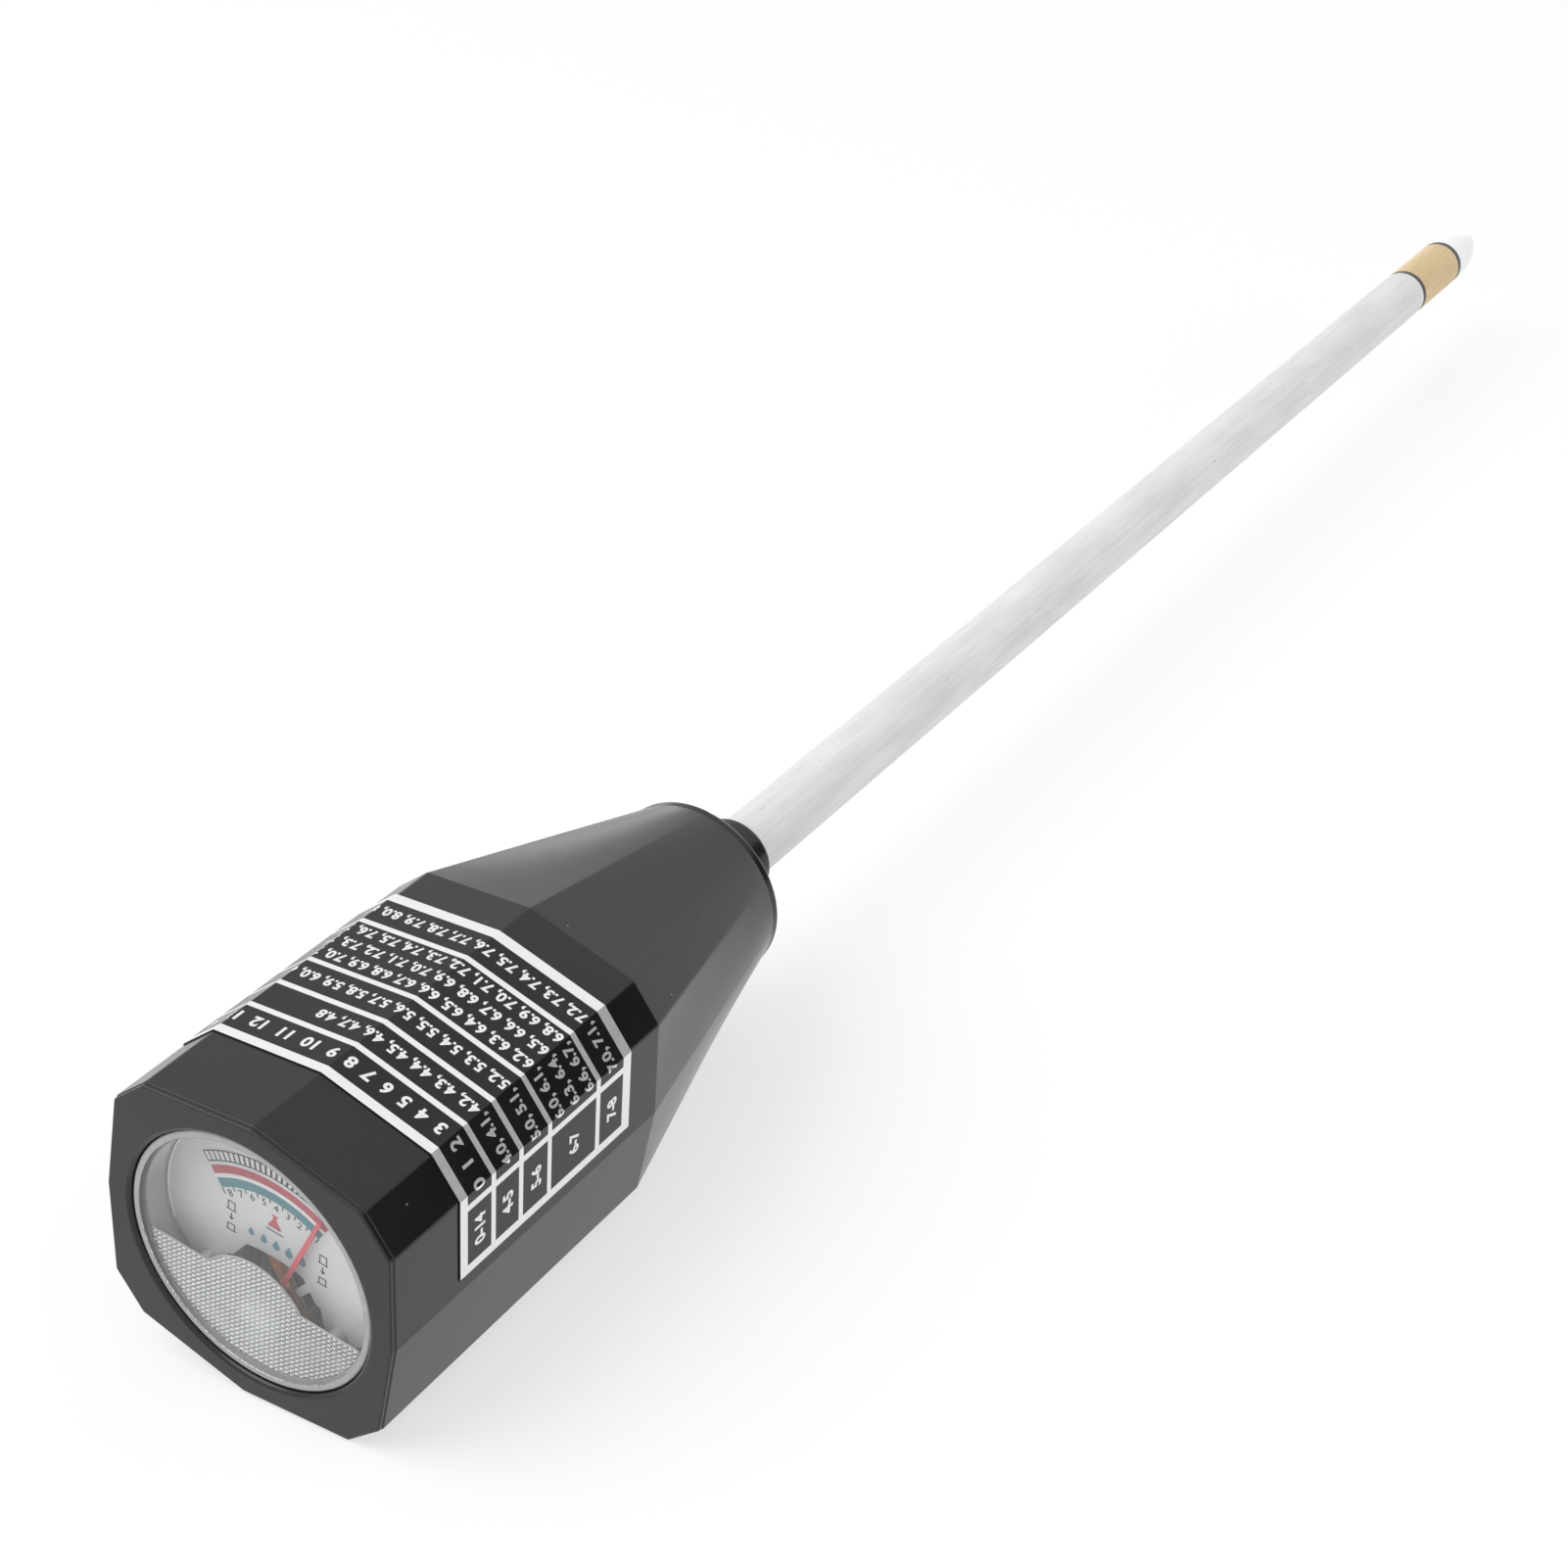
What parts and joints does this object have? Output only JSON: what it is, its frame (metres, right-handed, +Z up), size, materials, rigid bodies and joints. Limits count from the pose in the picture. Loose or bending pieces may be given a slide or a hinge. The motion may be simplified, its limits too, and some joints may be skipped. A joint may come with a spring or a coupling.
{
  "type": "soil pH tester",
  "caption": "Analogue soil pH tester: faceted plastic head with a round moving-coil meter, side push button and a long metal probe with a brass band and white point.",
  "frame": {"origin": "on the surface the tester lies on, below the middle of its length and width", "axes": "+Y along the probe towards its point, +Z up, dial facing -Y; the head lies on its lower right facet"},
  "size_m": [0.0452, 0.3896, 0.0424],
  "materials": {
    "case_plastic": "satin moulded dark grey",
    "label_film": "printed film, dark with a white ruled table",
    "clear_plastic": "clear, finely patterned in its lower part",
    "meter_plastic": "moulded light grey",
    "dial_metal": "satin, printed",
    "steel": "plated",
    "brass": "turned",
    "spring_bronze": "rolled strip",
    "white_plastic": "moulded white",
    "magnet": "ground",
    "board_laminate": "brown laminate",
    "resistor_body": "lacquered with colour bands",
    "lead_red": "insulated wire",
    "lead_white": "insulated wire",
    "lead_black": "insulated wire",
    "tube_metal": "drawn, fine lengthwise lines",
    "ring_plastic": "turned dark grey",
    "band_brass": "satin turned",
    "tip_plastic": "moulded white",
    "needle_paint": "red paint",
    "copper_wire": "enamelled copper winding",
    "button_plastic": "moulded black"
  },
  "bodies": {
    "head": {"head_shell": "case_plastic", "front_bezel": "case_plastic", "list_label": "label_film", "meter_cover": "clear_plastic", "meter_base": "meter_plastic", "dial_plate": "dial_metal", "dial_screws": "steel", "bridge_spacers": "steel", "front_bridge": "dial_metal", "front_jewel_screw": "brass", "rear_jewel_screw": "brass", "front_hairspring": "spring_bronze", "rear_hairspring": "spring_bronze", "zero_adjuster": "white_plastic", "core_magnet": "magnet", "yoke_ring": "steel", "core_keys": "white_plastic", "terminal_studs": "brass", "terminal_nuts": "brass", "solder_tags": "brass", "contact_blade": "spring_bronze", "blade_rivets": "brass", "fixed_contact": "brass", "switch_board": "board_laminate", "board_screws": "steel", "shunt_resistor": "resistor_body", "core_lead": "lead_red", "meter_lead": "lead_white", "tube_lead": "lead_black", "tube_clip": "steel", "tube_collar": "case_plastic", "collar_nut": "steel", "collar_washer": "steel", "electrode_tube": "tube_metal", "insulating_bush": "ring_plastic", "brass_band": "band_brass", "insulating_ring": "ring_plastic", "probe_tip": "tip_plastic"},
    "movement": {"needle": "needle_paint", "balance_weights": "brass", "pivots": "steel", "moving_coil": "copper_wire", "coil_frame": "dial_metal"},
    "button": {"switch_button": "button_plastic"}
  },
  "joints": [
    {"name": "needle_swing", "type": "hinge", "parent": "head", "child": "movement", "pos_m": [-0.00053, -0.1895, 0.0129], "axis": [0, -1, 0], "range_deg": [-6, 62], "stiffness_Nm_per_rad": 0.00005, "deforming": ["front_hairspring", "rear_hairspring"]},
    {"name": "button_press", "type": "slide", "parent": "head", "child": "button", "axis": [0.9684, 0, -0.2496], "range_m": [0, 0.0018], "stiffness_N_per_m": 800, "springref_m": -0.0005, "deforming": ["contact_blade"]}
  ]
}
